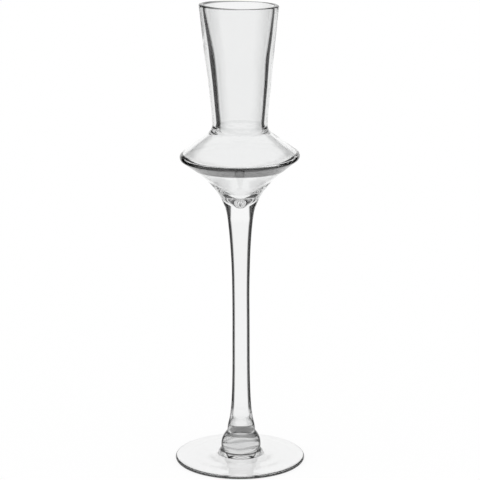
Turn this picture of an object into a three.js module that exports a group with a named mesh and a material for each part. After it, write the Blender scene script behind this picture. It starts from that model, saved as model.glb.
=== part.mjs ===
// A tall clear glass vase: a flared cup over a double-cone bulge, a solid stem, a ball knop and a round foot.
// Four pieces of glass, each worked hot by itself and fused to the next on a flat round seat.
// Millimetres, +Z up. The origin is on the table, under the middle of the foot.
// Every outline is drawn as Vector2(radius, height above the piece's own lower seat) and turned about the axis.

import * as THREE from "three";

// Foot: a shallow cone with a rounded edge, slightly hollow underneath, so that it stands on a flat ring
const footRadius = 56.9;
const footEdgeThickness = 3.0;
const footSeatHeight = 8.7;
const footTopAngle = 4.5; // how steeply the top rises from the edge, in degrees
const footTopStraight = 22.0;
const footCollarAngle = 40.0; // how steeply it comes up to the knop, in degrees
const footCollarStraight = 4.0;
const restingRingWidth = 2.5;
const footHollowDepth = 3.4;
const footHollowAngle = 4.0; // how steeply the underside rises inside the ring, in degrees
const footHollowStraight = 36.0;
const footHollowTop = 10.0; // about how far from the axis the underside is level again

// Knop: a solid ball, flattened where it is fused to the foot and to the stem
const knopRadius = 17.4;
const knopFootSeatAngle = 14.0; // below the ball's widest circle, in degrees
const knopStemSeatAngle = 45.5; // above the ball's widest circle, in degrees

// Stem: a solid rod with a flare at each end, slimmest above its middle
const stemLength = 190.6;
const stemShankRadius = 7.6;
const stemShankHeight = 74.7;
const stemSlimRadius = 7.5;
const stemSlimHeight = 116.7;
const stemTopRadius = 10.9;
const stemTopTaper = 0.12; // radius gained for each millimetre up, where the stem meets the bowl
const stemTopStraight = 14.0;
const stemEndTaper = 0.01; // radius lost for each millimetre up, where the stem leaves the knop
const stemEndStraight = 14.0;

// Bowl, outside
const bulgeRadius = 51.4;
const bulgeHeight = 55.6; // from the seat on the stem up to the widest circle
const bulgeEdgeRound = 4.0;
const underConeAngle = 36.0; // from the level, in degrees
const underConeStraight = 21.9;
const throatStraight = 26.2;
const shoulderAngle = 36.7; // from the level, in degrees
const waistRadius = 23.6;
const waistCorner = 5.0;
const cupHeight = 105.7; // from the waist's corner up to the rim
const cupFlareStart = 10.6; // above the waist's corner
const cupFlareCorner = 8.0;
const rimRadius = 33.8;

// Bowl, inside: a wall that varies, as it does in glass blown and pulled by hand
const rimWall = 4.1;
const rimRound = 1.0; // how far down the rim's rounding reaches
const cupWall = 6.9;
const cupWallHeight = 58.7; // above the waist's corner, where the wall is thickest and the hollow bends
const cupWallCorner = 10.0;
const waistWall = 5.9;
const shoulderWall = 2.0;
const underConeWall = 3.4;
const innerEdgeRound = 1.8;
const floorThickness = 12.0; // solid glass between the seat on the stem and the bottom of the hollow
const hollowTipRadius = 6.0;
const hollowTipAngle = 42.0; // how steeply the hollow opens above its rounded bottom, in degrees
const hollowTipStraight = 20.0;
const hollowConeStraight = 18.0;

// How many flat sides stand in for each full turn
const bowlSides = 56;
const rodSides = 40;
const footSides = 64;

const degrees = Math.PI / 180;

const knopCentreHeight = knopRadius * Math.sin(knopFootSeatAngle * degrees);
const knopFootSeatRadius = knopRadius * Math.cos(knopFootSeatAngle * degrees);
const knopHeight = knopCentreHeight + knopRadius * Math.sin(knopStemSeatAngle * degrees);
const stemEndRadius = knopRadius * Math.cos(knopStemSeatAngle * degrees);

const clearGlass = {
  color: new THREE.Color(0.93, 0.94, 0.94),
  roughness: 0.02,
  metalness: 0,
  transparent: true,
  opacity: 0.35,
};

function point(radius, height) {
  return new THREE.Vector2(radius, height);
}

/** The point at `distance` from `from`, in the direction `angle` degrees above the outward level. */
function along(from, angle, distance) {
  return point(from.x + distance * Math.cos(angle * degrees), from.y + distance * Math.sin(angle * degrees));
}

/** A round stretch about `centre`, from one angle to another, in degrees above the outward level. */
function arc(centre, radius, start, end, steps) {
  return Array.from({ length: steps + 1 }, (_, i) =>
    along(centre, start + ((end - start) * i) / steps, radius));
}

/** A smooth stretch that leaves `from` towards `fromHandle` and reaches `to` out of `toHandle`. */
function bend(from, fromHandle, toHandle, to, steps) {
  return new THREE.CubicBezierCurve(from, fromHandle, toHandle, to).getPoints(steps);
}

/** The corner `at` of two straight stretches, rounded over `reach` on each side of it. */
function roundedCorner(before, at, after, reach, steps) {
  const start = at.clone().lerp(before, Math.min(1, reach / at.distanceTo(before)));
  const end = at.clone().lerp(after, Math.min(1, reach / at.distanceTo(after)));
  return new THREE.QuadraticBezierCurve(start, at, end).getPoints(steps);
}

/** The centre of a round edge that touches both cones of the bulge, each `inset` inwards from the outer one. */
function edgeCentreInside(centre, shoulderInset, underConeInset) {
  const up = (90 - shoulderAngle) * degrees;
  const down = (90 - underConeAngle) * degrees;
  const spread = Math.sin(up + down);
  return point(
    centre.x - (shoulderInset * Math.sin(down) + underConeInset * Math.sin(up)) / spread,
    centre.y - (shoulderInset * Math.cos(down) - underConeInset * Math.cos(up)) / spread,
  );
}

/** Where the shoulder's straight slope, going up from `edgeTop`, comes in to `radius`. */
function shoulderTop(edgeTop, radius) {
  return point(radius, edgeTop.y + (edgeTop.x - radius) * Math.tan(shoulderAngle * degrees));
}

/** A piece turned about the axis from an outline that starts at the bottom of the axis and ends at its top. */
function turned(name, outline, sides, seatHeight) {
  const geometry = new THREE.LatheGeometry(outline, sides);
  geometry.rotateX(Math.PI / 2);
  const mesh = new THREE.Mesh(geometry, new THREE.MeshStandardMaterial(clearGlass));
  mesh.name = name;
  mesh.position.z = seatHeight;
  return mesh;
}

function footOutline() {
  const edgeRound = footEdgeThickness / 2;
  const edgeCentre = point(footRadius - edgeRound, edgeRound);
  const ringInner = point(edgeCentre.x - restingRingWidth, 0);
  const topEdge = point(edgeCentre.x, footEdgeThickness);
  const seat = point(knopFootSeatRadius, footSeatHeight);
  return [
    ...bend(point(0, footHollowDepth), point(footHollowTop, footHollowDepth),
      along(ringInner, 180 - footHollowAngle, footHollowStraight), ringInner, 6),
    ...arc(edgeCentre, edgeRound, -90, 90, 6),
    ...bend(topEdge, along(topEdge, 180 - footTopAngle, footTopStraight),
      along(seat, -footCollarAngle, footCollarStraight), seat, 5).slice(1),
    point(0, footSeatHeight),
  ];
}

function knopOutline() {
  const ball = arc(point(0, knopCentreHeight), knopRadius, -knopFootSeatAngle, knopStemSeatAngle, 10);
  return [point(0, 0), ...ball, point(0, knopHeight)];
}

function stemOutline() {
  const end = point(stemEndRadius, 0);
  const shank = point(stemShankRadius, stemShankHeight);
  const slim = point(stemSlimRadius, stemSlimHeight);
  const top = point(stemTopRadius, stemLength);
  return [
    point(0, 0),
    ...bend(end, point(end.x - stemEndTaper * stemEndStraight, stemEndStraight),
      point(stemShankRadius, 0), shank, 8),
    ...bend(slim, point(stemSlimRadius, (slim.y + top.y) / 2),
      point(top.x - stemTopTaper * stemTopStraight, top.y - stemTopStraight), top, 7),
    point(0, stemLength),
  ];
}

function bowlOutline() {
  // Outside, from the seat up
  const seat = point(stemTopRadius, 0);
  const edgeCentre = point(bulgeRadius - bulgeEdgeRound, bulgeHeight);
  const edge = arc(edgeCentre, bulgeEdgeRound, underConeAngle - 90, 90 - shoulderAngle, 6);
  const edgeTop = edge[edge.length - 1];
  const underCone = bend(seat, point(seat.x + stemTopTaper * throatStraight, throatStraight),
    along(edge[0], 180 + underConeAngle, underConeStraight), edge[0], 8);
  const waist = shoulderTop(edgeTop, waistRadius);
  const lip = rimWall / 2;
  const rimCentre = point(rimRadius - lip, waist.y + cupHeight - rimRound);
  const rim = arc(point(0, 0), lip, 0, 180, 6).map(({ x, y }) =>
    point(rimCentre.x + x, rimCentre.y + (y * rimRound) / lip));
  const rimOuter = point(rimRadius, rimCentre.y);
  const flareStart = point(waistRadius, waist.y + cupFlareStart);

  // Inside
  const tipCentre = point(0, floorThickness + hollowTipRadius);
  const tip = arc(tipCentre, hollowTipRadius, -90, hollowTipAngle - 90, 3);
  const tipEnd = tip[tip.length - 1];
  const innerEdgeCentre = edgeCentreInside(edgeCentre,
    shoulderWall + innerEdgeRound - bulgeEdgeRound, underConeWall + innerEdgeRound - bulgeEdgeRound);
  const innerEdge = arc(innerEdgeCentre, innerEdgeRound, underConeAngle - 90, 90 - shoulderAngle, 4);
  const innerEdgeTop = innerEdge[innerEdge.length - 1];
  const innerCone = bend(tipEnd, along(tipEnd, hollowTipAngle, hollowTipStraight),
    along(innerEdge[0], 180 + underConeAngle, hollowConeStraight), innerEdge[0], 6);
  const innerWaist = shoulderTop(innerEdgeTop, waistRadius - waistWall);
  const flareSlope = (rimRadius - waistRadius) / (rimOuter.y - flareStart.y);
  const thickest = waist.y + cupWallHeight;
  const innerThickest = point(waistRadius + flareSlope * (thickest - flareStart.y) - cupWall, thickest);
  const rimInner = point(rimRadius - rimWall, rimCentre.y);

  return [
    point(0, 0),
    ...underCone,
    ...edge.slice(1),
    ...roundedCorner(edgeTop, waist, flareStart, waistCorner, 2),
    ...roundedCorner(waist, flareStart, rimOuter, cupFlareCorner, 3),
    ...rim,
    ...roundedCorner(rimInner, innerThickest, innerWaist, cupWallCorner, 3),
    ...roundedCorner(innerThickest, innerWaist, innerEdgeTop, waistCorner, 2),
    ...innerEdge.reverse(),
    ...innerCone.reverse().slice(1),
    ...tip.reverse().slice(1),
  ];
}

const knopSeat = footSeatHeight;
const stemSeat = knopSeat + knopHeight;
const bowlSeat = stemSeat + stemLength;

const vase = new THREE.Group();
vase.add(
  turned("foot", footOutline(), footSides, 0),
  turned("knop", knopOutline(), rodSides, knopSeat),
  turned("stem", stemOutline(), rodSides, stemSeat),
  turned("bowl", bowlOutline(), bowlSides, bowlSeat),
);

export default vase;
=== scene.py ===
"""A tall clear glass vase in a plain white studio.

Four pieces of glass stand on each other: a foot, a ball knop, a drawn stem and a blown bowl. Each one is a
closed surface turned about the vase's axis from an outline, then bent a little, as glass worked by hand is.
Where two pieces are fused, each has a flat seam face that light crosses without a trace.

Lengths are in metres and angles in degrees, unless a description says otherwise. An outline's points are a
radius and a height above the table.
"""
import logging
import math
from collections.abc import Sequence
from dataclasses import dataclass, field
from enum import Enum

import bpy
import numpy as np
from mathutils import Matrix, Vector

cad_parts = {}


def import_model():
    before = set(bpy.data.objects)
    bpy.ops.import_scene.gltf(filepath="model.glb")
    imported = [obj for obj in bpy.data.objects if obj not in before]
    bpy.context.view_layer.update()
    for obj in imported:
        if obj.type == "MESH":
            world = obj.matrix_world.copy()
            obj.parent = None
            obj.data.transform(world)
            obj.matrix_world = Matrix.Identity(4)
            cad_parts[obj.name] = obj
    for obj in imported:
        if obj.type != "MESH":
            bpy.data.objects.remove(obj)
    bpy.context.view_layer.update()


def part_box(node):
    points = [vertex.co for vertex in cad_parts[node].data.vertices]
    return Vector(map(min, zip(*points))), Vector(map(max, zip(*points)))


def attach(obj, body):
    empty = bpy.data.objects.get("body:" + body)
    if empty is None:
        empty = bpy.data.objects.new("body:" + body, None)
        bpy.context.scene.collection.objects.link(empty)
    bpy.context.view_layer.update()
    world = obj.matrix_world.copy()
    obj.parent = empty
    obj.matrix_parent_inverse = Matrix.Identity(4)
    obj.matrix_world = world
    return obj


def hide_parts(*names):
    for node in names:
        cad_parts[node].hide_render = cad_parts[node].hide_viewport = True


log = logging.getLogger("vase")

MM = 0.001
SAME_PLACE = 1e-6  # points or heights closer than this are one
CRISP_ANGLE = 50.0  # faces that meet at more than this have a crisp edge between them
GLASS_INDEX = 1.5  # how strongly the glass bends light
EVEN_BLEND = 0.5  # the blend that leaves Facing as 1 less the cosine
WHITE = (1, 1, 1, 1)


class Face(Enum):
    """What a face of a glass piece is: its material slot's number."""

    GLASS = 0
    SEAM = 1


# Outlines


def point(radius: float, height: float) -> np.ndarray:
    """One point of an outline, from its radius and its height."""
    return np.array((radius, height), float)


def along(start: np.ndarray, angle: float, distance: float) -> np.ndarray:
    """The point at a distance from a start: the start plus the distance times the angle's cosine and sine.

    Args:
        start: the point to go from.
        angle: the direction, above the outward level.
        distance: how far to go.

    Returns:
        The point reached.
    """
    turn = math.radians(angle)
    return start + distance * np.array((math.cos(turn), math.sin(turn)))


def arc(centre: np.ndarray, radius: float, start: float, end: float, steps: int = 24) -> np.ndarray:
    """A round stretch of an outline: centre plus radius times the cosine and sine of an even run of angles.

    Args:
        centre: the middle of the round.
        radius: its radius.
        start: the angle of its first point, above the outward level.
        end: the angle of its last point.
        steps: how many steps it has.

    Returns:
        Its points, one a row.
    """
    turn = np.radians(np.linspace(start, end, steps + 1))[:, None]
    return centre + radius * np.hstack((np.cos(turn), np.sin(turn)))


def bend(start: np.ndarray, leaves: np.ndarray, arrives: np.ndarray, end: np.ndarray,
         steps: int = 40) -> np.ndarray:
    """A smooth stretch of an outline, as a cubic Bezier: four points weighted by the Bernstein polynomials.

    Args:
        start: its first point.
        leaves: the handle that it leaves the first point towards.
        arrives: the handle that it reaches the last point from.
        end: its last point.
        steps: how many steps it has.

    Returns:
        Its points, one a row.
    """
    t = np.linspace(0, 1, steps + 1)[:, None]
    s = 1 - t
    return s**3 * start + 3 * s**2 * t * leaves + 3 * s * t**2 * arrives + t**3 * end


def rounded_corner(before: np.ndarray, at: np.ndarray, after: np.ndarray, reach: float,
                   steps: int = 12) -> np.ndarray:
    """The corner of two straight stretches, rounded by a quadratic Bezier whose middle point is the corner.

    Args:
        before: a point on the stretch that comes in.
        at: the corner.
        after: a point on the stretch that goes out.
        reach: how far from the corner the rounding starts and ends.
        steps: how many steps it has.

    Returns:
        Its points, one a row.
    """
    start = at + (before - at) * min(1.0, reach / np.linalg.norm(before - at))
    end = at + (after - at) * min(1.0, reach / np.linalg.norm(after - at))
    t = np.linspace(0, 1, steps + 1)[:, None]
    return (1 - t) ** 2 * start + 2 * (1 - t) * t * at + t**2 * end


def joined(*stretches: np.ndarray) -> np.ndarray:
    """One outline from several stretches: their points in a row, less each that repeats the one before it.

    Args:
        stretches: the stretches, each one point or several points, one a row.

    Returns:
        The outline's points, one a row.
    """
    points = np.vstack([np.atleast_2d(stretch) for stretch in stretches])
    steps = np.linalg.norm(np.diff(points, axis=0), axis=1)
    return points[np.concatenate(([True], steps > SAME_PLACE))]


def even_rows(outline: np.ndarray, longest: float) -> np.ndarray:
    """The outline with extra points on its long straight steps, so that bending it later stays smooth.

    A step is split into its length over the longest one, rounded up. Point j of n on step i is read at
    i + j/n.

    Args:
        outline: the points of the outline.
        longest: the longest step that may stay.

    Returns:
        The outline, where a step longer than that is split evenly.
    """
    steps = np.linalg.norm(np.diff(outline, axis=0), axis=1)
    splits = np.maximum(1, np.ceil(steps / longest)).astype(int)
    step = np.repeat(np.arange(len(splits)), splits)
    within = np.arange(len(step)) - np.repeat(np.cumsum(splits) - splits, splits)
    place = np.append(step + within / splits[step], len(splits))
    known = np.arange(len(outline))
    return np.column_stack([np.interp(place, known, values) for values in outline.T])


# The frame


@dataclass(frozen=True)
class NodeRoom:
    """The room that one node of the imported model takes.

    Attributes:
        base: the height of its lowest point.
        top: the height of its highest point.
        radius: its largest radius.
    """

    base: float
    top: float
    radius: float

    @classmethod
    def of(cls, node: str) -> "NodeRoom":
        """Reads a node's room from the frame."""
        low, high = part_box(node)
        return cls(base=low.z, top=high.z, radius=(high.x - low.x) / 2)


# The hand of the maker


def smooth_between(value: np.ndarray, places: Sequence[float], levels: Sequence[float]) -> np.ndarray:
    """Goes from level to level between places, easing in and out by 3t squared less 2t cubed.

    Args:
        value: where to read it.
        places: rising places at which the level is known.
        levels: the level at each place.

    Returns:
        The level at each value.
    """
    places, levels = np.asarray(places), np.asarray(levels)
    i = np.clip(np.searchsorted(places, value, side="right") - 1, 0, len(places) - 2)
    t = np.clip((value - places[i]) / (places[i + 1] - places[i]), 0, 1)
    return levels[i] + (levels[i + 1] - levels[i]) * t * t * (3 - 2 * t)


@dataclass(frozen=True)
class HandWork:
    """How far the vase is from a perfect turned shape, as one smooth bending of the whole vase.

    Attributes:
        lean_heights: heights at which the axis is off the true one.
        lean: how far the axis lies towards +X there.
        tilt_heights: heights at which level circles are tilted.
        tilt: the rise along +X of such a circle, for each metre.
        rise_heights: heights at which level circles are warped.
        rise: how far such a circle rises at the sides.
        rise_share: the share of that rise that it has at the front and the back.
    """

    lean_heights: tuple[float, ...] = (
        0.003, 0.010, 0.027, 0.120, 0.160, 0.216, 0.271, 0.300, 0.330, 0.360, 0.400)
    lean: tuple[float, ...] = (
        0.0, 0.0008, 0.0011, 0.0009, 0.0007, 0.0003, -0.0002, -0.0001, -0.0002, -0.0008, -0.0010)
    tilt_heights: tuple[float, ...] = (0.216, 0.258, 0.268, 0.275, 0.286, 0.300, 0.360, 0.400)
    tilt: tuple[float, ...] = (0.0, 0.004, 0.015, 0.015, 0.003, 0.0, -0.012, -0.020)
    rise_heights: tuple[float, ...] = (0.370, 0.399)
    rise: tuple[float, ...] = (0.0, 0.0010)
    rise_share: float = 0.4

    def bent(self, vertices: np.ndarray) -> np.ndarray:
        """Bends vertices: x gains the lean at its height, and z gains x times the tilt and the rise there.

        The rise is blended from its share at the front and the back to all of it at the sides by the square
        of the direction's cosine.

        Args:
            vertices: x, y and z of each vertex, one a row.

        Returns:
            The bent vertices.
        """
        x, y, z = vertices.T
        lean = smooth_between(z, self.lean_heights, self.lean)
        tilt = smooth_between(z, self.tilt_heights, self.tilt)
        aside = x**2 / np.maximum(x**2 + y**2, SAME_PLACE**2)
        share = self.rise_share + (1 - self.rise_share) * aside
        rise = smooth_between(z, self.rise_heights, self.rise) * share
        return np.column_stack((x + lean, y, z + x * tilt + rise))


# Turned surfaces


def ring_faces(rings: int, sides: int) -> list[list[int]]:
    """The faces of a turned surface: quads from each ring to the next, then a fan of triangles at each pole.

    Vertex k of ring i is number i times sides plus k. The low pole and the high pole come after all rings.

    Args:
        rings: how many rings there are.
        sides: how many vertices a ring has.

    Returns:
        The vertex numbers of each face, outside on the right of the outline.
    """
    ring = np.arange(sides)
    after = (ring + 1) % sides
    first = np.arange(rings - 1)[:, None] * sides
    quads = np.stack((first + ring, first + after, first + sides + after, first + sides + ring), axis=-1)
    last = (rings - 1) * sides
    low_pole, high_pole = rings * sides, rings * sides + 1
    low_fan = np.stack((np.full(sides, low_pole), after, ring), axis=-1)
    high_fan = np.stack((np.full(sides, high_pole), last + ring, last + after), axis=-1)
    return quads.reshape(-1, 4).tolist() + low_fan.tolist() + high_fan.tolist()


def face_kinds(heights: np.ndarray, poles: np.ndarray, sides: int, seams: Sequence[float]) -> np.ndarray:
    """Tells fused faces from free ones: a fused face is level and lies at the height of a seam.

    Args:
        heights: the height of each ring.
        poles: the heights of the low and the high pole, whose fans count as level.
        sides: how many faces there are between two rings, or in a fan.
        seams: the heights of the seams.

    Returns:
        The material slot's number of each face, in the order of ring_faces.
    """
    row = np.concatenate(((heights[:-1] + heights[1:]) / 2, poles))
    level = np.concatenate((np.abs(np.diff(heights)) < SAME_PLACE, (True, True)))
    at_seam = np.any(np.abs(row[:, None] - np.asarray(seams)) < SAME_PLACE, axis=1)
    kinds = np.where(level & at_seam, Face.SEAM.value, Face.GLASS.value)
    return np.repeat(kinds, sides).astype(np.int32)


def turned(name: str, outline: np.ndarray, sides: int, hand: HandWork, seams: Sequence[float],
           shift: np.ndarray | None = None) -> bpy.types.Object:
    """A closed surface turned about the z axis.

    A point of the outline at radius r and height z becomes the ring (r cos a, r sin a, z) for an even run of
    angles a. Each end of the outline lies on the axis and becomes one vertex, a pole.

    Args:
        name: the piece's name.
        outline: radius and height of each point, from the lowest one on the axis to the highest one there,
            outside on the right.
        sides: how many vertices a ring has.
        hand: bends the finished surface.
        seams: the heights of the flat faces that are fused to another piece.
        shift: how far the ring of each point of the outline lies towards +X.

    Returns:
        The piece, with its vertices in place and its object at the origin.
    """
    angle = np.arange(sides) * (2 * math.pi / sides)
    off_axis = outline[:, 0] >= SAME_PLACE
    radius, height = np.split(outline[off_axis], 2, axis=1)
    across = radius * np.cos(angle)
    if shift is not None:
        across = across + shift[off_axis][:, None]
    grid = np.stack(np.broadcast_arrays(across, radius * np.sin(angle), height), axis=-1).reshape(-1, 3)
    pole_heights = outline[[0, -1], 1]
    poles = np.column_stack((np.zeros((2, 2)), pole_heights))
    mesh = bpy.data.meshes.new(name)
    mesh.from_pydata(hand.bent(np.vstack((grid, poles))).tolist(), [], ring_faces(len(radius), sides))
    mesh.polygons.foreach_set("use_smooth", np.ones(len(mesh.polygons), bool))
    mesh.polygons.foreach_set("material_index", face_kinds(height[:, 0], pole_heights, sides, seams))
    mesh.set_sharp_from_angle(angle=math.radians(CRISP_ANGLE))
    mesh.update()
    piece = bpy.data.objects.new(name, mesh)
    bpy.context.scene.collection.objects.link(piece)
    return piece


# Node trees


class Tree:
    """A short way to add and join the nodes of a node tree.

    Attributes:
        tree: the node tree.
    """

    def __init__(self, tree: bpy.types.NodeTree) -> None:
        """Keeps the tree and empties it."""
        self.tree = tree
        tree.nodes.clear()

    def add(self, kind: str, inputs: dict[str | int, object] | None = None,
            **settings: object) -> bpy.types.Node:
        """Adds a node.

        Args:
            kind: the node's type, without its ShaderNode prefix.
            inputs: by socket, a value, or the output socket that feeds it.
            settings: the node's own properties.

        Returns:
            The node.
        """
        prefix = "" if kind.startswith("Node") else "ShaderNode"
        node = self.tree.nodes.new(prefix + kind)
        for key, value in settings.items():
            setattr(node, key, value)
        for key, value in (inputs or {}).items():
            socket = node.inputs[key]
            if isinstance(value, bpy.types.NodeSocket):
                self.tree.links.new(value, socket)
            else:
                socket.default_value = value
        return node

    def math(self, operation: str, *values: object, clamp: bool = False) -> bpy.types.NodeSocket:
        """Adds a Math node on numbers or sockets and returns its result."""
        return self.add("Math", dict(enumerate(values)), operation=operation, use_clamp=clamp).outputs[0]

    def step(self, value: object, start: object, end: object, falling: bool = False) -> bpy.types.NodeSocket:
        """Adds a smooth step: 3t squared less 2t cubed, where t is how far the value is from start to end.

        Args:
            value: the number that the step depends on.
            start: where the step starts.
            end: where it ends.
            falling: whether it goes from 1 to 0 instead of from 0 to 1.

        Returns:
            The height of the step at the value.
        """
        levels = {"To Min": float(falling), "To Max": float(not falling)}
        return self.add("MapRange", {"Value": value, "From Min": start, "From Max": end, **levels},
                        interpolation_type="SMOOTHSTEP").outputs[0]

    def fade(self, value: object, span: tuple[float, float], last: float) -> bpy.types.NodeSocket:
        """Adds an even fade from 1 to a last level while the value crosses a span, and returns its result."""
        return self.add("MapRange", {"Value": value, "From Min": span[0], "From Max": span[1],
                                     "To Min": 1.0, "To Max": last}).outputs[0]

    def mix(self, factor: object, start: object, end: object) -> bpy.types.NodeSocket:
        """Adds a blend from one number to another and returns its result."""
        return self.add("Mix", {"Factor": factor, "A": start, "B": end}, data_type="FLOAT").outputs[0]

    def mix_colour(self, factor: object, start: object, end: object) -> bpy.types.NodeSocket:
        """Adds a blend of two colours: a Mix node has them at inputs 6 and 7, and the result at output 2."""
        return self.add("Mix", {"Factor": factor, 6: start, 7: end}, data_type="RGBA").outputs[2]

    def place(self, group: bpy.types.NodeTree, inputs: dict[str | int, object]) -> bpy.types.NodeSocket:
        """Places a node group with its own values and returns what it puts out."""
        return self.add("Group", inputs, node_tree=group).outputs[0]


class GroupTree(Tree):
    """The inside of a node group that puts out one number.

    Attributes:
        given: the group's inputs, by name, as sockets to link from.
    """

    def __init__(self, name: str, output: str, numbers: Sequence[str] = (),
                 vectors: Sequence[str] = ()) -> None:
        """Makes the group and its sockets.

        Args:
            name: the group's name.
            output: the name of the number that it puts out.
            numbers: the names of the inputs that are numbers.
            vectors: the names of the inputs that are vectors.
        """
        super().__init__(bpy.data.node_groups.new(name, "ShaderNodeTree"))
        for kind, names in (("NodeSocketVector", vectors), ("NodeSocketFloat", numbers)):
            for socket in names:
                self.tree.interface.new_socket(socket, in_out="INPUT", socket_type=kind)
        self.tree.interface.new_socket(output, in_out="OUTPUT", socket_type="NodeSocketFloat")
        self.given = self.add("NodeGroupInput").outputs

    def close(self, result: bpy.types.NodeSocket) -> bpy.types.NodeTree:
        """Puts the result out and returns the group."""
        self.add("NodeGroupOutput", {0: result})
        return self.tree


def new_material(name: str) -> tuple[bpy.types.Material, Tree]:
    """Makes an empty material.

    Args:
        name: the material's name.

    Returns:
        The material and its tree.
    """
    material = bpy.data.materials.new(name)
    material.use_nodes = True
    return material, Tree(material.node_tree)


# Effects that the glasses share


def slant_group() -> bpy.types.NodeTree:
    """Builds the slant at which a surface is seen: 1 less the cosine of the angle outside the glass.

    From inside, the square of the outer angle's sine is that of the inner one times the index squared.

    Returns:
        The group, from Facing and Inside to Slant.
    """
    group = GroupTree("seen_slant", "Slant", numbers=("Facing", "Inside"))
    cosine = group.math("SUBTRACT", 1.0, group.given["Facing"])
    growth = group.math("MULTIPLY_ADD", group.given["Inside"], GLASS_INDEX**2 - 1, 1.0)
    inner_sine_squared = group.math("SUBTRACT", 1.0, group.math("MULTIPLY", cosine, cosine))
    outer_sine_squared = group.math("MULTIPLY", growth, inner_sine_squared)
    outer_cosine = group.math("SQRT", group.math("SUBTRACT", 1.0, outer_sine_squared, clamp=True))
    return group.close(group.math("SUBTRACT", 1.0, outer_cosine))


def waves_group() -> bpy.types.NodeTree:
    """Builds the waves that working glass hot leaves: a soft noise over the scaled place, times a depth.

    Returns:
        The group, from Place, Scale, Count and Depth to Height.
    """
    group = GroupTree("hot_waves", "Height", numbers=("Count", "Depth"), vectors=("Place", "Scale"))
    given = group.given
    scaled = group.add("Mapping", {"Vector": given["Place"], "Scale": given["Scale"]}).outputs[0]
    noise = group.add("TexNoise", {"Vector": scaled, "Scale": given["Count"], "Detail": 1.0}).outputs[0]
    return group.close(group.math("MULTIPLY", noise, given["Depth"]))


def edge_shade_group() -> bpy.types.NodeTree:
    """Builds how far a belt of painted shade takes the glass to its edge's tint: its depth times a step for
    each limit.

    The smooth steps are on the distance from the axis, on the height, twice, and on the slant of the view.
    The distance first loses the slope times the height above the place where the belt starts to fade. Seen
    from inside, a belt does nothing.

    Returns:
        The group, from Place, Slant, Inside, Depth, Slope and the start and end of each step to Share.
    """
    limits = [f"{limit} {end}" for limit in ("Radius", "Low", "High", "Slant") for end in ("Start", "End")]
    group = GroupTree("painted_edge_shade", "Share", numbers=("Slant", "Inside", "Depth", "Slope", *limits),
                      vectors=("Place",))
    given = group.given
    x, y, z = group.add("SeparateXYZ", {0: given["Place"]}).outputs
    distance = group.math("SQRT", group.math("MULTIPLY_ADD", x, x, group.math("MULTIPLY", y, y)))
    above = group.math("SUBTRACT", z, given["High Start"])
    level_distance = group.math("SUBTRACT", distance, group.math("MULTIPLY", above, given["Slope"]))
    share = group.math("MULTIPLY", group.math("SUBTRACT", 1.0, given["Inside"]), given["Depth"])
    for limit, value in (("Radius", level_distance), ("Low", z), ("High", z), ("Slant", given["Slant"])):
        step = group.step(value, given[limit + " Start"], given[limit + " End"], falling=limit == "High")
        share = group.math("MULTIPLY", share, step)
    return group.close(share)


@dataclass(frozen=True)
class GlassEffects:
    """The effects that the glasses share, each a node group built once and placed with a glass's own values.

    Attributes:
        slant: how far from square-on a surface is seen.
        waves: the waves of glass worked hot.
        belt: the painted shade that darkens the glass at a thick round edge.
    """

    slant: bpy.types.NodeTree = field(default_factory=slant_group)
    waves: bpy.types.NodeTree = field(default_factory=waves_group)
    belt: bpy.types.NodeTree = field(default_factory=edge_shade_group)


# Finishes


@dataclass(frozen=True)
class ShadeBelt:
    """A belt round the piece where shade is painted into the glass's colour, as the dark line of a thick
    round edge.

    Attributes:
        radius: the distances from the axis between which it sets in.
        low: the heights above the piece's base between which it sets in from below.
        high: the heights above the piece's base between which it fades again.
        depth: how far the painted shade takes the glass to its edge's tint where it is full, from 0 to 1.
        slope: how much farther out it lies for each metre up from the height where it starts to fade.
        slant: the slants of the view between which it sets in. By default it is full at any slant.
    """

    radius: tuple[float, float]
    low: tuple[float, float]
    high: tuple[float, float]
    depth: float
    slope: float = 0.0
    slant: tuple[float, float] = (-1.0, 0.0)

    def sockets(self, base: float) -> dict[str, float]:
        """The belt's values for the sockets of its effect.

        Args:
            base: the height of the piece's base.

        Returns:
            The values, by the name of the socket.
        """
        return {
            "Radius Start": self.radius[0], "Radius End": self.radius[1],
            "Low Start": base + self.low[0], "Low End": base + self.low[1],
            "High Start": base + self.high[0], "High End": base + self.high[1],
            "Slant Start": self.slant[0], "Slant End": self.slant[1],
            "Depth": self.depth, "Slope": self.slope,
        }


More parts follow.
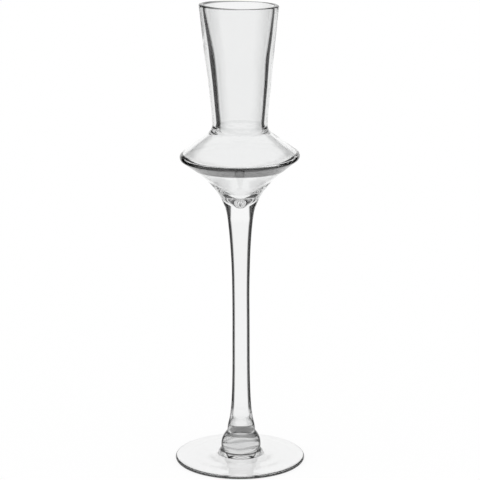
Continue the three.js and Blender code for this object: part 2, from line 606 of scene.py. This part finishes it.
@dataclass(frozen=True)
class ClearGlass:
    """Clear glass, with painted shade where it is seen at a slant, and the slight waves that working it hot
    leaves.

    Attributes:
        name: the material's name.
        edge_start: the slant where the painted shade starts, from 0, square-on, to 1, edge-on.
        edge_full: the slant where the painted shade is full.
        edge_shade_tint: how bright the glass's colour is there, from 0 to 1.
        tint: how bright it is where the glass is seen square on.
        red_loss: how much less red than green and blue it has there.
        roughness: how much the surface scatters what is seen through it.
        wave_count: how many waves there are in a metre across the piece.
        wave_stretch: how many times longer the waves are along the axis than across it.
        wave_depth: how deep the waves are.
        ring_gap: how far apart the rings round the axis are that spinning left.
        ring_depth: how deep those rings are. At 0 there are none.
        ring_waver: how strongly the rings waver.
        ring_waver_scale: how closely they waver.
        belts: the belts of painted shade at the thick edges of the piece.
    """

    name: str
    edge_start: float
    edge_full: float
    edge_shade_tint: float
    tint: float
    red_loss: float = 0.003
    roughness: float = 0.0
    wave_count: float = 45.0
    wave_stretch: float = 4.0
    wave_depth: float = 0.02 * MM
    ring_gap: float = 12.0 * MM
    ring_depth: float = 0.0
    ring_waver: float = 1.5
    ring_waver_scale: float = 0.4
    belts: tuple[ShadeBelt, ...] = ()

    def relief(self, tree: Tree, effects: GlassEffects, place: bpy.types.NodeSocket) -> bpy.types.NodeSocket:
        """Adds the nodes for the height of the surface: the waves, plus the rings if the glass has them.

        The rings' texture turns by 20 radians times its scale for each metre. A full turn for each gap makes
        that scale pi over ten gaps.

        Args:
            tree: the material's tree.
            effects: the effects that the glasses share.
            place: the place on the piece.

        Returns:
            The height in metres.
        """
        height = tree.place(effects.waves, {"Place": place, "Scale": (1, 1, 1 / self.wave_stretch),
                                            "Count": self.wave_count, "Depth": self.wave_depth})
        if not self.ring_depth:
            return height
        rings = tree.add("TexWave", {"Vector": place, "Scale": math.pi / (10 * self.ring_gap),
                                     "Distortion": self.ring_waver, "Detail": 1.0,
                                     "Detail Scale": self.ring_waver_scale},
                         wave_type="RINGS", rings_direction="Z").outputs["Fac"]
        return tree.math("MULTIPLY_ADD", rings, self.ring_depth, height)

    def build(self, effects: GlassEffects, base: float) -> bpy.types.Material:
        """Makes the material: as painted shade, the tint falls from square-on to edge-on, and to the edge's
        own in each belt.

        Args:
            effects: the effects that the glasses share.
            base: the height of the piece's base.

        Returns:
            The material.
        """
        material, tree = new_material(self.name)
        place = tree.add("TexCoord").outputs["Object"]
        inside = tree.add("NewGeometry").outputs["Backfacing"]
        facing = tree.add("LayerWeight", {"Blend": EVEN_BLEND}).outputs["Facing"]
        slant = tree.place(effects.slant, {"Facing": facing, "Inside": inside})
        # Painted shade: the colour darkens towards edge-on and in each belt, in place of the dark
        # surroundings that the glass's edges show.
        dark = tree.step(slant, self.edge_start, self.edge_full)
        for belt in self.belts:
            seen = {"Place": place, "Slant": slant, "Inside": inside}
            dark = tree.math("MAXIMUM", dark, tree.place(effects.belt, seen | belt.sockets(base)))
        clear_colour = (self.tint - self.red_loss, self.tint, self.tint, 1)
        shade_colour = (self.edge_shade_tint, self.edge_shade_tint, self.edge_shade_tint, 1)
        height = self.relief(tree, effects, place)
        bump = tree.add("Bump", {"Height": height, "Strength": 1.0, "Distance": 1.0})
        shader = tree.add("BsdfPrincipled", {
            "Base Color": tree.mix_colour(dark, clear_colour, shade_colour), "Roughness": self.roughness,
            "IOR": GLASS_INDEX, "Transmission Weight": 1.0, "Normal": bump.outputs[0]})
        tree.add("OutputMaterial", {"Surface": shader.outputs[0]})
        return material


@dataclass(frozen=True)
class FusedSeam:
    """The seam inside the glass, where two pieces melted into one: light crosses it unchanged.

    Attributes:
        name: the material's name.
    """

    name: str = "fused_seam"

    def build(self) -> bpy.types.Material:
        """Makes the material and returns it."""
        material, tree = new_material(self.name)
        tree.add("OutputMaterial", {"Surface": tree.add("BsdfTransparent", {"Color": WHITE}).outputs[0]})
        return material


# Belts of painted shade: dark lines painted into the glass at the foot's rim, the crease where the foot meets
# the knop, under the bulge's edge, on the bulge's edge and brow, and at the rim.
FOOT_RIM_SHADE = ShadeBelt(radius=(55.0 * MM, 56.0 * MM), low=(-1.0 * MM, 0.0), high=(2.0 * MM, 3.0 * MM), depth=0.995)
COLLAR_CREASE_SHADE = ShadeBelt(radius=(15.5 * MM, 16.0 * MM), low=(7.6 * MM, 8.1 * MM), high=(9.5 * MM, 10.0 * MM),
                     depth=0.97)
UNDER_FOLD_SHADE = ShadeBelt(radius=(46.5 * MM, 47.5 * MM), low=(43.88 * MM, 44.98 * MM), high=(52.48 * MM, 53.58 * MM),
                  depth=0.955, slope=1.376)
BULGE_EDGE_SHADE = ShadeBelt(radius=(49.3 * MM, 49.8 * MM), low=(50.28 * MM, 51.08 * MM), high=(54.58 * MM, 55.88 * MM),
                  depth=0.9995, slope=0.6)
BULGE_BROW_SHADE = ShadeBelt(radius=(49.0 * MM, 49.6 * MM), low=(51.28 * MM, 52.48 * MM), high=(57.58 * MM, 58.78 * MM),
                  depth=0.997, slant=(0.45, 0.6))
RIM_LIP_SHADE = ShadeBelt(radius=(20.0 * MM, 21.0 * MM), low=(183.48 * MM, 184.18 * MM), high=(194.0 * MM, 204.0 * MM),
               depth=0.88)

# The darkening towards edge-on in each glass is painted shade. The knop's low tint is painted shade too, for
# the grey that the solid ball shows.
FOOT_GLASS = ClearGlass("foot_glass", edge_start=0.9, edge_full=0.99, edge_shade_tint=0.005, tint=0.985,
                        ring_depth=0.06 * MM, belts=(FOOT_RIM_SHADE, COLLAR_CREASE_SHADE))
KNOP_GLASS = ClearGlass("knop_glass", edge_start=0.5, edge_full=0.65, edge_shade_tint=0.01, tint=0.5,
                        roughness=0.08)
STEM_GLASS = ClearGlass("stem_glass", edge_start=0.45, edge_full=0.75, edge_shade_tint=0.02, tint=0.9)
BOWL_GLASS = ClearGlass("bowl_glass", edge_start=0.97, edge_full=0.999, edge_shade_tint=0.001, tint=0.94,
                        belts=(BULGE_EDGE_SHADE, UNDER_FOLD_SHADE, BULGE_BROW_SHADE, RIM_LIP_SHADE))


# The pieces


@dataclass
class Foot:
    """The round foot: a shallow cone with a rounded edge, on a flat ring, slightly hollow inside the ring.

    Attributes:
        edge_thickness: the thickness of its edge, which is half round.
        ring_width: the width of the flat ring that it stands on.
        hollow_depth: how deep the hollow under it is in the middle.
        hollow_angle: how steeply the underside rises inside the ring.
        hollow_straight: how far the underside keeps about that slope.
        hollow_top: about how far from the axis the underside is level again.
        top_angle: how steeply the top rises from the edge.
        top_straight: how far the top keeps about that slope.
        collar_angle: how steeply the top comes up to the knop.
        collar_straight: how far down from the knop it keeps about that slope.
        row: the longest step along its outline.
        sides: how many sides stand in for its round.
        glass: its finish.
    """

    edge_thickness: float = 3.0 * MM
    ring_width: float = 2.5 * MM
    hollow_depth: float = 3.4 * MM
    hollow_angle: float = 4.0
    hollow_straight: float = 36.0 * MM
    hollow_top: float = 10.0 * MM
    top_angle: float = 4.5
    top_straight: float = 22.0 * MM
    collar_angle: float = 40.0
    collar_straight: float = 4.0 * MM
    row: float = 2.0 * MM
    sides: int = 192
    glass: ClearGlass = FOOT_GLASS

    def outline(self, room: NodeRoom, seat_radius: float) -> np.ndarray:
        """The outline, from the middle of the hollow under the foot to the middle of its seat.

        It is a bend for the underside, a half circle for the edge, a bend for the top and the level seat.

        Args:
            room: the foot's room in the frame.
            seat_radius: the radius of the seat that the knop stands on.

        Returns:
            The outline's points.
        """
        round_radius = self.edge_thickness / 2
        edge_centre = point(room.radius - round_radius, round_radius)
        ring_inner = point(edge_centre[0] - self.ring_width, 0)
        top_edge = point(edge_centre[0], self.edge_thickness)
        seat = point(seat_radius, room.top)
        return joined(
            bend(point(0, self.hollow_depth), point(self.hollow_top, self.hollow_depth),
                 along(ring_inner, 180 - self.hollow_angle, self.hollow_straight), ring_inner),
            arc(edge_centre, round_radius, -90, 90),
            bend(top_edge, along(top_edge, 180 - self.top_angle, self.top_straight),
                 along(seat, -self.collar_angle, self.collar_straight), seat),
            point(0, room.top),
        )

    def build(self, room: NodeRoom, seat_radius: float, hand: HandWork) -> bpy.types.Object:
        """Builds the foot's surface."""
        outline = even_rows(self.outline(room, seat_radius), self.row)
        return turned("foot_disc", outline, self.sides, hand, seams=(room.top,))


@dataclass
class Knop:
    """The solid ball between the foot and the stem.

    Attributes:
        centre_rise: how far its centre is above its seat on the foot.
        steps: how many steps its outline has from seat to seat.
        sides: how many sides stand in for its round.
        glass: its finish.
    """

    centre_rise: float = 4.21 * MM
    steps: int = 64
    sides: int = 160
    glass: ClearGlass = KNOP_GLASS

    def centre_height(self, room: NodeRoom) -> float:
        """The height of the ball's centre above the table."""
        return room.base + self.centre_rise

    def seat_radius(self, room: NodeRoom, height: float) -> float:
        """The ball's radius where a level plane at a height cuts it, by the theorem of right triangles."""
        return math.sqrt(room.radius**2 - (height - self.centre_height(room)) ** 2)

    def build(self, room: NodeRoom, hand: HandWork) -> bpy.types.Object:
        """Builds the ball's surface: an arc between the angles at which it meets its two level seats.

        Args:
            room: the knop's room in the frame.
            hand: bends the finished surface.

        Returns:
            The piece.
        """
        centre = point(0, self.centre_height(room))
        lowest, highest = (math.degrees(math.asin((height - centre[1]) / room.radius))
                           for height in (room.base, room.top))
        ball = arc(centre, room.radius, lowest, highest, self.steps)
        outline = joined(point(0, room.base), ball, point(0, room.top))
        return turned("knop_ball", outline, self.sides, hand, seams=(room.base, room.top))


@dataclass
class Stem:
    """The drawn stem: a solid rod with a flare at each end, slimmest above its middle.

    Attributes:
        shank_radius: its radius where the lower flare has run out.
        shank_height: how far up from its lower end that is.
        slim_radius: its least radius.
        slim_height: how far up from its lower end that is.
        top_radius: its radius where it meets the bowl.
        top_taper: the radius that it gains there for each metre up.
        top_straight: how far it keeps about that taper.
        end_taper: the radius that it loses for each metre up where it leaves the knop.
        end_straight: how far it keeps about that taper.
        steps: how many steps the outline of each flare has.
        row: the longest step along its outline.
        sides: how many sides stand in for its round.
        glass: its finish.
    """

    shank_radius: float = 7.6 * MM
    shank_height: float = 74.7 * MM
    slim_radius: float = 7.5 * MM
    slim_height: float = 116.7 * MM
    top_radius: float = 10.9 * MM
    top_taper: float = 0.12
    top_straight: float = 14.0 * MM
    end_taper: float = 0.01
    end_straight: float = 14.0 * MM
    steps: int = 60
    row: float = 3.0 * MM
    sides: int = 160
    glass: ClearGlass = STEM_GLASS

    def build(self, room: NodeRoom, end_radius: float, hand: HandWork) -> bpy.types.Object:
        """Builds the stem's surface: a bend up to the shank, a straight stretch and a bend up to the bowl.

        Args:
            room: the stem's room in the frame.
            end_radius: the radius of its lower end, which is fused to the knop.
            hand: bends the finished surface.

        Returns:
            The piece.
        """
        end = point(end_radius, room.base)
        shank = point(self.shank_radius, room.base + self.shank_height)
        slim = point(self.slim_radius, room.base + self.slim_height)
        top = point(self.top_radius, room.top)
        outline = joined(
            point(0, room.base),
            bend(end, end + self.end_straight * point(-self.end_taper, 1),
                 point(self.shank_radius, room.base), shank, self.steps),
            bend(slim, point(self.slim_radius, (slim[1] + top[1]) / 2),
                 top - self.top_straight * point(self.top_taper, 1), top, self.steps),
            point(0, room.top),
        )
        outline = even_rows(outline, self.row)
        return turned("stem_rod", outline, self.sides, hand, seams=(room.base, room.top))


@dataclass
class Bowl:
    """The blown bowl: cup, waist, bulge and under-cone around one hollow that isn't quite in the middle.

    Attributes:
        bulge_height: the height of its widest circle above its seat on the stem.
        edge_round: the radius of the bulge's round edge.
        under_cone_angle: how steeply the under-cone comes in below the edge.
        under_cone_straight: how far it keeps about that slope.
        throat_straight: how far up from the seat the throat keeps about the stem's taper.
        throat_taper: the radius that it gains there for each metre up.
        shoulder_angle: how steeply the shoulder comes in above the edge.
        waist_radius: the outer radius at the waist.
        waist_corner: how far from its corner the waist's rounding reaches.
        cup_flare_start: how far above the waist's corner the cup starts to flare.
        cup_flare_corner: how far from there that bend's rounding reaches.
        rim_radius: the outer radius of the rim.
        rim_wall: the wall's thickness at the rim.
        rim_round: how far down the rim's rounding reaches.
        cup_wall: the wall's thickness where the hollow of the cup bends.
        cup_wall_height: how far above the waist's corner that is.
        cup_wall_corner: how far from there that bend's rounding reaches.
        waist_wall: the wall's thickness at the waist.
        shoulder_wall: the wall's thickness under the shoulder.
        under_cone_wall: the wall's thickness in the under-cone.
        inner_edge_round: the radius of the hollow's round edge.
        floor_thickness: the solid glass between the seat and the bottom of the hollow.
        tip_radius: the radius of the hollow's rounded bottom.
        tip_angle: how steeply the hollow opens above it.
        tip_straight: how far it keeps about that slope.
        hollow_straight: how far down from its edge the hollow keeps about the under-cone's slope.
        hollow_heights: heights above the seat at which the hollow is off the middle.
        hollow_shift: how far the hollow lies towards +X there.
        steps: how many steps the outlines of the throat and of the hollow's cone have.
        row: the longest step along its outline.
        sides: how many sides stand in for its round.
        glass: its finish.
    """

    bulge_height: float = 55.6 * MM
    edge_round: float = 4.0 * MM
    under_cone_angle: float = 36.0
    under_cone_straight: float = 21.9 * MM
    throat_straight: float = 26.2 * MM
    throat_taper: float = 0.12
    shoulder_angle: float = 36.7
    waist_radius: float = 23.6 * MM
    waist_corner: float = 5.0 * MM
    cup_flare_start: float = 10.6 * MM
    cup_flare_corner: float = 8.0 * MM
    rim_radius: float = 33.8 * MM
    rim_wall: float = 4.1 * MM
    rim_round: float = 1.0 * MM
    cup_wall: float = 6.9 * MM
    cup_wall_height: float = 58.7 * MM
    cup_wall_corner: float = 10.0 * MM
    waist_wall: float = 5.9 * MM
    shoulder_wall: float = 2.0 * MM
    under_cone_wall: float = 3.4 * MM
    inner_edge_round: float = 1.8 * MM
    floor_thickness: float = 12.0 * MM
    tip_radius: float = 6.0 * MM
    tip_angle: float = 42.0
    tip_straight: float = 20.0 * MM
    hollow_straight: float = 18.0 * MM
    hollow_heights: tuple[float, ...] = (64.08 * MM, 84.08 * MM, 144.08 * MM, 183.08 * MM)
    hollow_shift: tuple[float, ...] = (0.0, 0.5 * MM, 0.5 * MM, 0.0)
    steps: int = 60
    row: float = 2.5 * MM
    sides: int = 224
    glass: ClearGlass = BOWL_GLASS

    def inner_edge_centre(self, centre: np.ndarray) -> np.ndarray:
        """The centre of the hollow's round edge, which touches both inner slopes: two insets, solved as one.

        Args:
            centre: the centre of the bulge's outer round edge.

        Returns:
            The centre of the inner one.
        """
        up = math.radians(90 - self.shoulder_angle)
        down = math.radians(90 - self.under_cone_angle)
        slopes = np.array(((math.cos(up), math.sin(up)), (math.cos(down), -math.sin(down))))
        grown = self.edge_round - self.inner_edge_round
        return centre + np.linalg.solve(slopes, (grown - self.shoulder_wall, grown - self.under_cone_wall))

    def shoulder_top(self, edge_top: np.ndarray, radius: float) -> np.ndarray:
        """Where the shoulder's slope, going up from a point of the edge, comes in to a radius."""
        slope = math.tan(math.radians(self.shoulder_angle))
        return point(radius, edge_top[1] + (edge_top[0] - radius) * slope)

    def outline(self, room: NodeRoom, seat_radius: float) -> np.ndarray:
        """The outline: up the outside from the seat, over the rim and down the hollow to its bottom.

        Args:
            room: the bowl's room in the frame.
            seat_radius: the radius of the seat on the stem.

        Returns:
            The outline's points.
        """
        seat = point(seat_radius, room.base)
        edge_centre = point(room.radius - self.edge_round, room.base + self.bulge_height)
        edge_angles = (self.under_cone_angle - 90, 90 - self.shoulder_angle)
        edge = arc(edge_centre, self.edge_round, *edge_angles)
        throat = bend(seat, seat + self.throat_straight * point(self.throat_taper, 1),
                      along(edge[0], 180 + self.under_cone_angle, self.under_cone_straight), edge[0],
                      self.steps)
        waist = self.shoulder_top(edge[-1], self.waist_radius)
        flare_start = point(self.waist_radius, waist[1] + self.cup_flare_start)
        lip = self.rim_wall / 2
        rim_centre = point(self.rim_radius - lip, room.top - self.rim_round)
        rim = rim_centre + arc(point(0, 0), lip, 0, 180) * point(1, self.rim_round / lip)

        tip_centre = point(0, room.base + self.floor_thickness + self.tip_radius)
        tip = arc(tip_centre, self.tip_radius, -90, self.tip_angle - 90)
        inner_edge = arc(self.inner_edge_centre(edge_centre), self.inner_edge_round, *edge_angles)
        cone = bend(tip[-1], along(tip[-1], self.tip_angle, self.tip_straight),
                    along(inner_edge[0], 180 + self.under_cone_angle, self.hollow_straight), inner_edge[0],
                    self.steps)
        inner_waist = self.shoulder_top(inner_edge[-1], self.waist_radius - self.waist_wall)
        flare = (self.rim_radius - self.waist_radius) / (rim_centre[1] - flare_start[1])
        thickest = waist[1] + self.cup_wall_height
        cup_radius = self.waist_radius + flare * (thickest - flare_start[1])
        inner_thickest = point(cup_radius - self.cup_wall, thickest)
        return joined(
            point(0, room.base), throat, edge,
            rounded_corner(edge[-1], waist, flare_start, self.waist_corner),
            rounded_corner(waist, flare_start, rim[0], self.cup_flare_corner),
            rim,
            rounded_corner(rim[-1], inner_thickest, inner_waist, self.cup_wall_corner),
            rounded_corner(inner_thickest, inner_waist, inner_edge[-1], self.waist_corner),
            inner_edge[::-1], cone[::-1], tip[::-1],
        )

    def build(self, room: NodeRoom, seat_radius: float, hand: HandWork) -> bpy.types.Object:
        """Builds the bowl's surface, with the rings after its highest point shifted as the hollow is.

        Args:
            room: the bowl's room in the frame.
            seat_radius: the radius of the seat on the stem.
            hand: bends the finished surface.

        Returns:
            The piece.
        """
        outline = even_rows(self.outline(room, seat_radius), self.row)
        inside = np.arange(len(outline)) > np.argmax(outline[:, 1])
        off_middle = smooth_between(outline[:, 1] - room.base, self.hollow_heights, self.hollow_shift)
        shift = np.where(inside, off_middle, 0.0)
        return turned("blown_bowl", outline, self.sides, hand, seams=(room.base,), shift=shift)


# The studio


def set_stops(ramp: bpy.types.ColorRamp, stops: Sequence[tuple[float, float]]) -> None:
    """Gives a colour ramp grey stops that ease into each other.

    Args:
        ramp: the ramp.
        stops: the place, from 0 to 1, and the grey level of each.
    """
    while len(ramp.elements) > 1:
        ramp.elements.remove(ramp.elements[-1])
    for i, (place, level) in enumerate(stops):
        stop = ramp.elements[0] if i == 0 else ramp.elements.new(place)
        stop.position = place
        stop.color = (level, level, level, 1)
    ramp.interpolation = "EASE"


def through_glass(tree: Tree) -> bpy.types.NodeSocket:
    """Adds the nodes that give 1 to a path which glass has bent or mirrored, and 0 to any other."""
    path = tree.add("LightPath").outputs
    return tree.math("MAXIMUM", path["Is Glossy Ray"], path["Is Transmission Ray"])


@dataclass
class Studio:
    """A plain pale floor under an even white sky, with dark walls at the sides that only the glass shows.

    Attributes:
        camera_place: where the camera stands.
        camera_pitch: how far it looks down.
        lens: its focal length in millimetres.
        sensor: the width of its picture in millimetres.
        sight: how far it sees.
        bounces: how many times a path may cross glass.
        mirror_bounces: how many times a path may be mirrored.
        floor_radius: how far the floor reaches.
        floor_sides: how many sides the floor has.
        floor_drop: how far the floor lies below the foot.
        floor_glow: the share of the floor's white that it gives out by itself. The rest is matt.
        shade_place: the middle of the painted shadow under the vase, which only the glass shows.
        floor_rings: by distance from that middle, how bright the glass shows the floor: the painted shadow's
            rings.
        floor_white: the distances from the axis between which the rings give way to what lies around them.
        beside: how far round from straight behind, in radians, the floor close to the vase turns white.
        beside_reach: the distances from the axis between which it stops being close.
        walls: by direction, from straight behind the vase towards +X, how bright the studio is there.
        narrowing: how much the walls draw together with height.
        spreads_from: the distances from the axis between which the walls' feet on the floor spread apart.
        far_turn: what an angle counts for beyond them.
        ceiling: how bright it is overhead.
        ceiling_from: the heights of a direction, as its sine, between which the walls turn into the ceiling.
    """

    camera_place: tuple[float, float, float] = (0.0, -1.58515, 0.57405)
    camera_pitch: float = 13.351
    lens: float = 141.597
    sensor: float = 36.0
    sight: float = 40.0
    bounces: int = 32
    mirror_bounces: int = 16
    floor_radius: float = 12.0
    floor_sides: int = 96
    floor_drop: float = 0.1 * MM
    floor_glow: float = 0.86
    shade_place: tuple[float, float, float] = (0.0, 0.011, 0.0)
    floor_rings: tuple[tuple[float, float], ...] = ((0.0, 0.2), (0.011, 0.25), (0.015, 0.95), (0.12, 1.0))
    floor_white: tuple[float, float] = (0.06, 0.10)
    beside: tuple[float, float] = (1.15, 1.4)
    beside_reach: tuple[float, float] = (0.4, 1.0)
    walls: tuple[tuple[float, float], ...] = (
        (-180, 0.7), (-125, 0.7), (-100, 0.02), (-36, 0.02), (-28, 1.0),
        (30, 1.0), (40, 0.02), (95, 0.02), (115, 0.7), (180, 0.7))
    narrowing: float = 1.5
    spreads_from: tuple[float, float] = (1.2, 3.2)
    far_turn: float = 0.95
    ceiling: float = 0.85
    ceiling_from: tuple[float, float] = (0.5, 0.65)

    def camera(self) -> None:
        """Sets up the camera at the photograph's viewing angle."""
        data = bpy.data.cameras.new("camera")
        data.lens = self.lens
        data.sensor_width = self.sensor
        data.clip_end = self.sight
        camera = bpy.data.objects.new("camera", data)
        camera.location = self.camera_place
        camera.rotation_euler = (math.radians(90 - self.camera_pitch), 0, 0)
        bpy.context.scene.collection.objects.link(camera)
        bpy.context.scene.camera = camera

    def wall_light(self) -> bpy.types.NodeTree:
        """Builds the studio's brightness in a direction: a ramp over its angle, and the ceiling above that.

        The angle from straight behind is stretched by 1 plus the narrowing times the direction's height, so
        that what it shows draws together upwards, and it counts for less far out on the floor.

        Returns:
            The group, from Direction to Brightness.
        """
        group = GroupTree("wall_light", "Brightness", vectors=("Direction",))
        direction = group.given["Direction"]
        x, y, z = group.add("SeparateXYZ", {0: direction}).outputs
        turn = group.math("ARCTAN2", x, y)
        reach = group.add("VectorMath", {0: direction}, operation="LENGTH").outputs["Value"]
        counts = group.fade(reach, self.spreads_from, self.far_turn)
        narrowed = group.math("MULTIPLY", group.math("MULTIPLY", turn, counts),
                              group.math("MULTIPLY_ADD", z, self.narrowing, 1.0))
        ramp = group.add("ValToRGB", {0: group.math("MULTIPLY_ADD", narrowed, 1 / (2 * math.pi), 0.5)})
        set_stops(ramp.color_ramp, [(degrees / 360 + 0.5, level) for degrees, level in self.walls])
        return group.close(group.mix(group.step(z, *self.ceiling_from), ramp.outputs[0], self.ceiling))

    def sky(self, walls: bpy.types.NodeTree) -> None:
        """Makes the world: white to the camera and to matt surfaces, the studio's walls to the glass.

        Args:
            walls: the group that gives the studio's brightness in a direction.
        """
        world = bpy.data.worlds.new("studio")
        bpy.context.scene.world = world
        world.use_nodes = True
        tree = Tree(world.node_tree)
        wall = tree.place(walls, {"Direction": tree.add("TexCoord").outputs["Generated"]})
        strength = tree.mix(through_glass(tree), 1.0, wall)
        background = tree.add("Background", {"Color": WHITE, "Strength": strength})
        tree.add("OutputWorld", {"Surface": background.outputs[0]})

    def floor_seen(self, tree: Tree, walls: bpy.types.NodeTree) -> bpy.types.NodeSocket:
        """Adds the nodes for how bright the glass shows the floor.

        It is the painted shadow's rings close to the vase. Around them it is white beside the vase, and what
        the walls say elsewhere.

        Args:
            tree: the floor's tree.
            walls: the group that gives the studio's brightness in a direction.

        Returns:
            The brightness.
        """
        place = tree.add("NewGeometry").outputs["Position"]
        distance = tree.add("VectorMath", {0: place}, operation="LENGTH").outputs["Value"]
        # Painted shadow: the floor that the glass shows darkens by distance from a spot under the vase.
        off = tree.add("VectorMath", {0: place, 1: self.shade_place}, operation="DISTANCE").outputs["Value"]
        reach = self.floor_rings[-1][0]
        rings = tree.add("ValToRGB", {0: tree.math("DIVIDE", off, reach)})
        set_stops(rings.color_ramp, [(radius / reach, level) for radius, level in self.floor_rings])
        x, y, _ = tree.add("SeparateXYZ", {0: place}).outputs
        aside = tree.math("ABSOLUTE", tree.math("ARCTAN2", x, y))
        close = tree.fade(distance, self.beside_reach, 0.0)
        beside = tree.math("MULTIPLY", tree.step(aside, *self.beside), close)
        around = tree.mix(beside, tree.place(walls, {"Direction": place}), 1.0)
        return tree.mix(tree.step(distance, *self.floor_white), rings.outputs[0], around)

    def floor_material(self, walls: bpy.types.NodeTree) -> bpy.types.Material:
        """Makes the floor's material: a share of its white glows, and the rest is matt.

        Args:
            walls: the group that gives the studio's brightness in a direction.

        Returns:
            The material.
        """
        material, tree = new_material("pale_floor")
        level = tree.mix(through_glass(tree), 1.0, self.floor_seen(tree, walls))
        glow_level = tree.math("MULTIPLY", level, self.floor_glow)
        glow = tree.add("Emission", {"Color": WHITE, "Strength": glow_level})
        matt_level = tree.math("MULTIPLY", level, 1 - self.floor_glow)
        matt_colour = tree.add("CombineColor", {0: matt_level, 1: matt_level, 2: matt_level}).outputs[0]
        matt = tree.add("BsdfDiffuse", {"Color": matt_colour})
        both = tree.add("AddShader", {0: glow.outputs[0], 1: matt.outputs[0]})
        tree.add("OutputMaterial", {"Surface": both.outputs[0]})
        return material

    def floor(self, walls: bpy.types.NodeTree) -> None:
        """Makes the pale floor, one level face whose corners are an even run of angles on a circle.

        Args:
            walls: the group that gives the studio's brightness in a direction.
        """
        turn = np.arange(self.floor_sides) * (2 * math.pi / self.floor_sides)
        corner_places = np.column_stack((self.floor_radius * np.cos(turn), self.floor_radius * np.sin(turn),
                                         np.full(self.floor_sides, -self.floor_drop)))
        mesh = bpy.data.meshes.new("floor")
        mesh.from_pydata(corner_places.tolist(), [], [list(range(self.floor_sides))])
        mesh.materials.append(self.floor_material(walls))
        floor = bpy.data.objects.new("floor", mesh)
        bpy.context.scene.collection.objects.link(floor)

    def build(self) -> None:
        """Builds the camera, the world and the floor."""
        scene = bpy.context.scene
        scene.view_settings.view_transform = "Standard"
        scene.cycles.max_bounces = self.bounces
        scene.cycles.transmission_bounces = self.bounces
        scene.cycles.glossy_bounces = self.mirror_bounces
        scene.cycles.transparent_max_bounces = self.bounces
        self.camera()
        walls = self.wall_light()
        self.sky(walls)
        self.floor(walls)


# The whole vase


@dataclass
class Vase:
    """The vase, from its pieces and the hand that shaped them.

    Attributes:
        foot: what it stands on.
        knop: the ball on the foot.
        stem: the rod on the knop.
        bowl: the hollow bowl on the stem.
        hand: how it is bent.
    """

    foot: Foot = field(default_factory=Foot)
    knop: Knop = field(default_factory=Knop)
    stem: Stem = field(default_factory=Stem)
    bowl: Bowl = field(default_factory=Bowl)
    hand: HandWork = field(default_factory=HandWork)

    def dress(self, piece: bpy.types.Object, node: str, glass: bpy.types.Material,
              seam: bpy.types.Material) -> None:
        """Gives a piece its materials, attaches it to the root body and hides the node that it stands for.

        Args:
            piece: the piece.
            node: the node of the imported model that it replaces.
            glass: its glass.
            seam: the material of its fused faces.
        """
        piece.data.materials.append(glass)
        piece.data.materials.append(seam)
        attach(piece, "root")
        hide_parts(node)

    def build(self) -> list[bpy.types.Object]:
        """Builds the four pieces from the ground up and dresses them.

        Returns:
            The pieces.
        """
        rooms = {node: NodeRoom.of(node) for node in ("foot", "knop", "stem", "bowl")}
        foot_seat = self.knop.seat_radius(rooms["knop"], rooms["knop"].base)
        stem_seat = self.knop.seat_radius(rooms["knop"], rooms["knop"].top)
        made = (
            ("foot", self.foot.glass, self.foot.build(rooms["foot"], foot_seat, self.hand)),
            ("knop", self.knop.glass, self.knop.build(rooms["knop"], self.hand)),
            ("stem", self.stem.glass, self.stem.build(rooms["stem"], stem_seat, self.hand)),
            ("bowl", self.bowl.glass, self.bowl.build(rooms["bowl"], self.stem.top_radius, self.hand)),
        )
        effects = GlassEffects()
        seam = FusedSeam().build()
        for node, glass, piece in made:
            self.dress(piece, node, glass.build(effects, rooms[node].base), seam)
        return [piece for _, _, piece in made]


def main() -> None:
    """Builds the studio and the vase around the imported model."""
    logging.basicConfig(level=logging.INFO, format="%(name)s: %(message)s")
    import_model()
    Studio().build()
    for piece in Vase().build():
        log.info("%s: %d faces", piece.name, len(piece.data.polygons))


if __name__ == "__main__":
    main()
